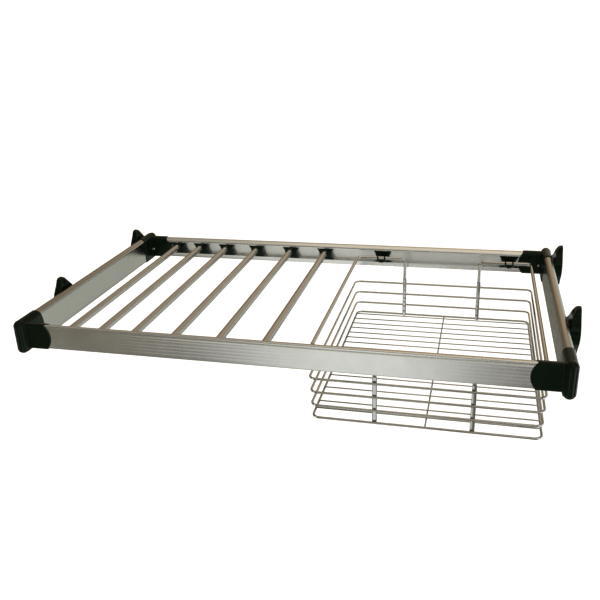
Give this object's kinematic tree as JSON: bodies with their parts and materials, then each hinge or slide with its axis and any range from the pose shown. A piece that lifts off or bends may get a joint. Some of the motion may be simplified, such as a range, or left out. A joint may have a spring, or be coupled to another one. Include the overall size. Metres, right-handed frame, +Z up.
{
  "type": "pull out trouser rack",
  "caption": "Pull-out wardrobe rack: aluminium frame on ball runners with black corner caps, sliding trouser bars and a chrome wire basket hanging from clip-in hooks.",
  "frame": {"origin": "midway between the two wardrobe walls that the brackets screw to, at the middle of the frame depth and level with the middle of the side rails and runners", "axes": "+X to the right along the front rail, +Y into the wardrobe so the rack pulls out along -Y, +Z up"},
  "size_m": [0.864, 0.5003, 0.1529],
  "materials": {
    "rail_aluminium": "satin anodised, pale champagne",
    "bar_aluminium": "satin anodised tube",
    "black_plastic": "moulded, semi-gloss black",
    "chrome_wire": "bright chrome plate",
    "runner_steel": "bright zinc plate",
    "zinc_steel": "zinc-plated fastener"
  },
  "bodies": {
    "wall_side": {"left_runner_fixed_member": "runner_steel", "left_front_wall_bracket": "black_plastic", "left_front_bracket_screw": "zinc_steel", "left_rear_wall_bracket": "black_plastic", "left_rear_bracket_screw": "zinc_steel", "right_runner_fixed_member": "runner_steel", "right_front_wall_bracket": "black_plastic", "right_front_bracket_screw": "zinc_steel", "right_rear_wall_bracket": "black_plastic", "right_rear_bracket_screw": "zinc_steel"},
    "rack": {"front_rail": "rail_aluminium", "rear_rail": "rail_aluminium", "left_side_rail": "rail_aluminium", "right_side_rail": "rail_aluminium", "front_left_corner_cap": "black_plastic", "front_left_cap_screw": "zinc_steel", "front_right_corner_cap": "black_plastic", "front_right_cap_screw": "zinc_steel", "rear_left_corner_cap": "black_plastic", "rear_left_cap_screw": "zinc_steel", "rear_right_corner_cap": "black_plastic", "rear_right_cap_screw": "zinc_steel", "left_runner_rack_member": "runner_steel", "right_runner_rack_member": "runner_steel", "left_runner_screw": "zinc_steel", "right_runner_screw": "zinc_steel"},
    "middle_members": {"left_runner_middle_member": "runner_steel", "right_runner_middle_member": "runner_steel"},
    "inner_ball_cages": {"left_inner_ball_cage": "runner_steel", "right_inner_ball_cage": "runner_steel"},
    "outer_ball_cages": {"left_outer_ball_cage": "runner_steel", "right_outer_ball_cage": "runner_steel"},
    "bar_1": {"trouser_bar_1": "bar_aluminium", "bar_1_front_clip": "black_plastic", "bar_1_rear_clip": "black_plastic"},
    "bar_2": {"trouser_bar_2": "bar_aluminium", "bar_2_front_clip": "black_plastic", "bar_2_rear_clip": "black_plastic"},
    "bar_3": {"trouser_bar_3": "bar_aluminium", "bar_3_front_clip": "black_plastic", "bar_3_rear_clip": "black_plastic"},
    "bar_4": {"trouser_bar_4": "bar_aluminium", "bar_4_front_clip": "black_plastic", "bar_4_rear_clip": "black_plastic"},
    "bar_5": {"trouser_bar_5": "bar_aluminium", "bar_5_front_clip": "black_plastic", "bar_5_rear_clip": "black_plastic"},
    "bar_6": {"trouser_bar_6": "bar_aluminium", "bar_6_front_clip": "black_plastic", "bar_6_rear_clip": "black_plastic"},
    "basket_hooks": {"basket_hook_front_left": "black_plastic", "basket_hook_rear_left": "black_plastic", "basket_hook_front_right": "black_plastic", "basket_hook_rear_right": "black_plastic"},
    "basket": {"basket_hanger_left": "chrome_wire", "basket_hanger_right": "chrome_wire", "basket_rim_1": "chrome_wire", "basket_rim_2": "chrome_wire", "basket_rim_3": "chrome_wire", "basket_floor": "chrome_wire"}
  },
  "joints": [
    {"name": "rack_slide", "type": "slide", "parent": "wall_side", "child": "rack", "axis": [0, -1, 0], "range_m": [-0.02, 0.33]},
    {"name": "middle_member_slide", "type": "slide", "parent": "wall_side", "child": "middle_members", "axis": [0, -1, 0], "range_m": [-0.0101, 0.1651]},
    {"name": "inner_cage_slide", "type": "slide", "parent": "wall_side", "child": "inner_ball_cages", "axis": [0, -1, 0], "range_m": [-0.0151, 0.2476]},
    {"name": "outer_cage_slide", "type": "slide", "parent": "wall_side", "child": "outer_ball_cages", "axis": [0, -1, 0], "range_m": [-0.0051, 0.0826]},
    {"name": "bar_1_shift", "type": "slide", "parent": "rack", "child": "bar_1", "axis": [1, 0, 0], "range_m": [-0.002, 0.008]},
    {"name": "bar_2_shift", "type": "slide", "parent": "rack", "child": "bar_2", "axis": [1, 0, 0], "range_m": [-0.008, 0.01]},
    {"name": "bar_3_shift", "type": "slide", "parent": "rack", "child": "bar_3", "axis": [1, 0, 0], "range_m": [-0.01, 0.015]},
    {"name": "bar_4_shift", "type": "slide", "parent": "rack", "child": "bar_4", "axis": [1, 0, 0], "range_m": [-0.015, 0.018]},
    {"name": "bar_5_shift", "type": "slide", "parent": "rack", "child": "bar_5", "axis": [1, 0, 0], "range_m": [-0.018, 0.018]},
    {"name": "bar_6_shift", "type": "slide", "parent": "rack", "child": "bar_6", "axis": [1, 0, 0], "range_m": [-0.018, 0.03]},
    {"name": "basket_shift", "type": "slide", "parent": "rack", "child": "basket_hooks", "axis": [1, 0, 0], "range_m": [-0.02, 0]},
    {"name": "basket_lift", "type": "slide", "parent": "basket_hooks", "child": "basket", "axis": [0, 0, 1], "range_m": [0, 0.04]}
  ],
  "couplings": [
    {"joint": "middle_member_slide", "follows": "rack_slide", "ratio": 0.5},
    {"joint": "inner_cage_slide", "follows": "rack_slide", "ratio": 0.75},
    {"joint": "outer_cage_slide", "follows": "rack_slide", "ratio": 0.25}
  ]
}
